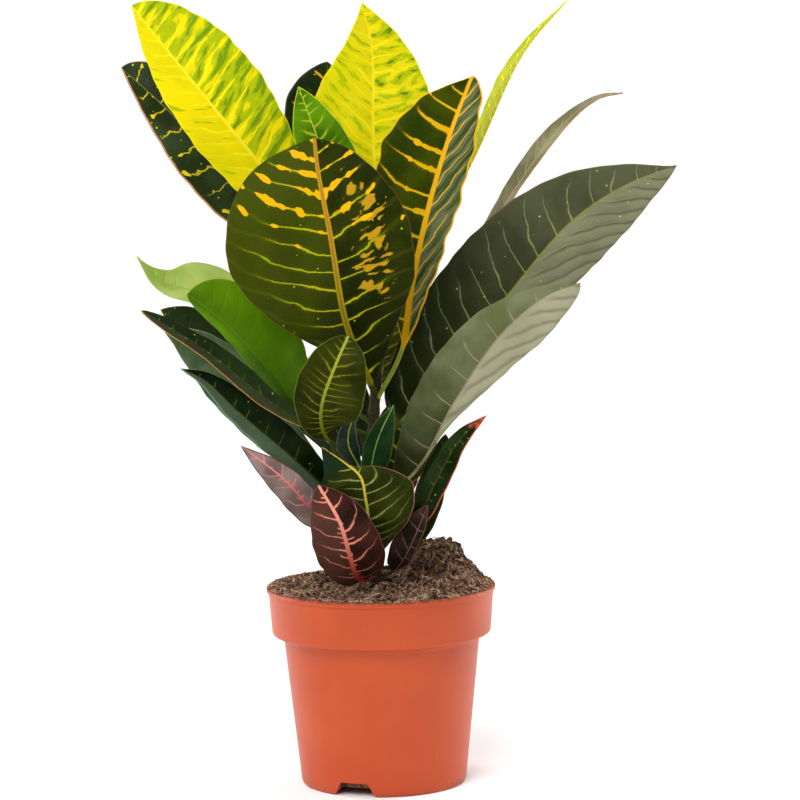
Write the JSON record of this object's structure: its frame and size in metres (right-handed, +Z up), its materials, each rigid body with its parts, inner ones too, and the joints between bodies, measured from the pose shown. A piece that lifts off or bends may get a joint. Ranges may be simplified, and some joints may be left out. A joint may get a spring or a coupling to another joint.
{
  "type": "potted croton plant",
  "caption": "Young croton with broad glossy variegated leaves on a single short stem, growing in soil in a tapered nursery pot with a collared rim and notched foot.",
  "frame": {"origin": "on the ground, under the middle of the whole plant's bounding box; the pot's own axis stands 14 mm to the left of it and 26 mm in front of it", "axes": "+Z up along the pot's axis and the stem; +X to the right and +Y to the back as seen from the side most leaves turn their patterned faces to (-Y)"},
  "size_m": [0.3156, 0.1965, 0.4446],
  "materials": {
    "pot_plastic": "satin moulded polypropylene, terracotta colour, faint sheen",
    "potting_soil": "loose brown peat with pale fibres and crumbs, fully rough",
    "stem_bark": "dull brown-green bark with leaf scars",
    "leaf_olive": "glossy olive-green leaf, yellow-orange midrib and side veins, thin red edge",
    "leaf_yellow": "satin bright yellow leaf mottled with green between the side veins",
    "leaf_dark": "glossy very dark green leaf with yellow flecks and a thin orange-red edge",
    "leaf_light": "satin fresh light-green young leaf with pale veins",
    "leaf_grey": "satin grey-green leaf with raised side veins and a pinkish edge",
    "leaf_red": "satin maroon-brown leaf with pink-red midrib and side veins"
  },
  "bodies": {
    "root": {"pot": "pot_plastic", "soil": "potting_soil", "stem": "stem_bark", "leaf_broad_front": "leaf_olive", "leaf_yellow_left": "leaf_yellow", "leaf_dark_left": "leaf_dark", "leaf_yellow_centre": "leaf_yellow", "leaf_striped_right": "leaf_olive", "leaf_dark_back": "leaf_dark", "leaf_green_young": "leaf_light", "leaf_yellow_right": "leaf_yellow", "leaf_grey_right": "leaf_grey", "leaf_long_right": "leaf_dark", "leaf_long_right_low": "leaf_grey", "leaf_light_left": "leaf_light", "leaf_light_left_back": "leaf_light", "leaf_dark_left_top": "leaf_dark", "leaf_dark_left_back": "leaf_dark", "leaf_blue_left": "leaf_dark", "leaf_dark_left_low": "leaf_dark", "leaf_olive_small": "leaf_olive", "leaf_folded_front": "leaf_olive", "leaf_red_front": "leaf_red", "leaf_red_left": "leaf_red", "leaf_red_tip_right": "leaf_dark", "leaf_dark_right_low": "leaf_dark", "leaf_red_right_low": "leaf_red", "leaf_green_inner": "leaf_dark", "leaf_grey_inner": "leaf_grey", "leaf_far_crown": "leaf_yellow", "leaf_far_left": "leaf_dark", "leaf_far_right": "leaf_dark", "leaf_far_middle": "leaf_olive", "leaf_far_left_low": "leaf_dark", "leaf_far_right_low": "leaf_olive", "leaf_far_low": "leaf_dark", "leaf_far_lowest": "leaf_red"}
  },
  "joints": []
}
